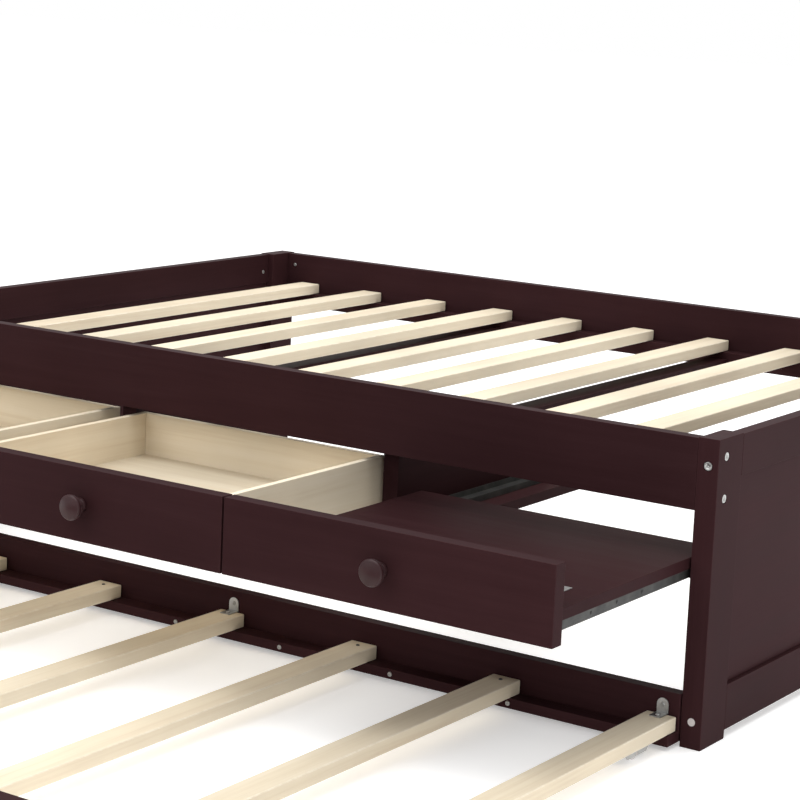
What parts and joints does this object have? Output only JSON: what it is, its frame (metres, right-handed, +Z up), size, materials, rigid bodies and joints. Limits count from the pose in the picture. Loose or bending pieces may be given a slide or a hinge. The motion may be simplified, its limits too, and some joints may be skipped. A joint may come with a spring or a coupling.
{
  "type": "trundle bed",
  "caption": "Low wooden bed frame with slats, a rolling slatted trundle, pull-out drawers with round knobs and a pull-out tray on steel slides.",
  "frame": {"origin": "on the floor, under the middle of the box around the whole object with the drawers, the tray and the trundle pulled out", "axes": "+X along the bed towards the end with the tray, +Y from the front towards the back, +Z up"},
  "size_m": [1.99, 2.858, 0.535],
  "materials": {
    "espresso_wood": "satin espresso lacquer over wood, fine grain, edges slightly lighter",
    "pale_pine": "pale unfinished pine, fine straight grain, matte",
    "zinc_steel": "zinc plated sheet steel",
    "white_nylon": "white nylon, slightly glossy"
  },
  "bodies": {
    "bed_frame": {"post_front_left": "espresso_wood", "post_front_right": "espresso_wood", "post_rear_left": "espresso_wood", "post_rear_right": "espresso_wood", "front_rail": "espresso_wood", "rear_rail": "espresso_wood", "front_slat_cleat": "espresso_wood", "rear_slat_cleat": "espresso_wood", "end_bottom_rail_right": "espresso_wood", "end_top_rail_right": "espresso_wood", "end_panel_right": "espresso_wood", "end_bottom_rail_left": "espresso_wood", "end_top_rail_left": "espresso_wood", "end_panel_left": "espresso_wood", "slat_01": "pale_pine", "slat_02": "pale_pine", "slat_03": "pale_pine", "slat_04": "pale_pine", "slat_05": "pale_pine", "slat_06": "pale_pine", "slat_07": "pale_pine", "slat_08": "pale_pine", "slat_09": "pale_pine", "slat_10": "pale_pine", "divider_right": "espresso_wood", "divider_left": "espresso_wood", "tray_bearer_inner": "espresso_wood", "tray_bearer_outer": "espresso_wood", "tray_slide_channel_inner": "zinc_steel", "tray_slide_channel_outer": "zinc_steel"},
    "tray": {"tray_front": "espresso_wood", "tray_knob": "espresso_wood", "tray_shelf": "espresso_wood", "tray_slide_runner_inner": "zinc_steel", "tray_slide_runner_outer": "zinc_steel"},
    "middle_drawer": {"middle_drawer_front": "espresso_wood", "middle_drawer_knob": "espresso_wood", "middle_drawer_box": "pale_pine"},
    "left_drawer": {"left_drawer_front": "espresso_wood", "left_drawer_knob": "espresso_wood", "left_drawer_box": "pale_pine"},
    "trundle": {"trundle_front": "espresso_wood", "trundle_rear_rail": "espresso_wood", "trundle_front_cleat": "espresso_wood", "trundle_rear_cleat": "espresso_wood", "trundle_slat_1": "pale_pine", "trundle_slat_2": "pale_pine", "trundle_slat_3": "pale_pine", "trundle_slat_4": "pale_pine", "trundle_slat_5": "pale_pine", "trundle_slat_6": "pale_pine", "trundle_slat_7": "pale_pine", "caster_fork_rear_right": "zinc_steel", "caster_fork_rear_left": "zinc_steel", "caster_fork_front_right": "zinc_steel", "caster_fork_front_left": "zinc_steel"},
    "wheel_rear_right": {"caster_wheel_rear_right": "white_nylon"},
    "wheel_rear_left": {"caster_wheel_rear_left": "white_nylon"},
    "wheel_front_right": {"caster_wheel_front_right": "white_nylon"},
    "wheel_front_left": {"caster_wheel_front_left": "white_nylon"}
  },
  "joints": [
    {"name": "tray_slide", "type": "slide", "parent": "bed_frame", "child": "tray", "axis": [0, 1, 0], "range_m": [0, 0.448]},
    {"name": "middle_drawer_slide", "type": "slide", "parent": "bed_frame", "child": "middle_drawer", "axis": [0, 1, 0], "range_m": [0, 0.448]},
    {"name": "left_drawer_slide", "type": "slide", "parent": "bed_frame", "child": "left_drawer", "axis": [0, 1, 0], "range_m": [0, 0.448]},
    {"name": "trundle_roll", "type": "slide", "parent": "bed_frame", "child": "trundle", "axis": [0, 1, 0], "range_m": [-0.15, 1.418]},
    {"name": "spin_rear_right", "type": "hinge", "parent": "trundle", "child": "wheel_rear_right", "pos_m": [0.9225, -0.122, 0.012], "axis": [1, 0, 0], "continuous": true},
    {"name": "spin_rear_left", "type": "hinge", "parent": "trundle", "child": "wheel_rear_left", "pos_m": [-0.9225, -0.122, 0.012], "axis": [1, 0, 0], "continuous": true},
    {"name": "spin_front_right", "type": "hinge", "parent": "trundle", "child": "wheel_front_right", "pos_m": [0.9225, -1.293, 0.012], "axis": [1, 0, 0], "continuous": true},
    {"name": "spin_front_left", "type": "hinge", "parent": "trundle", "child": "wheel_front_left", "pos_m": [-0.9225, -1.293, 0.012], "axis": [1, 0, 0], "continuous": true}
  ]
}
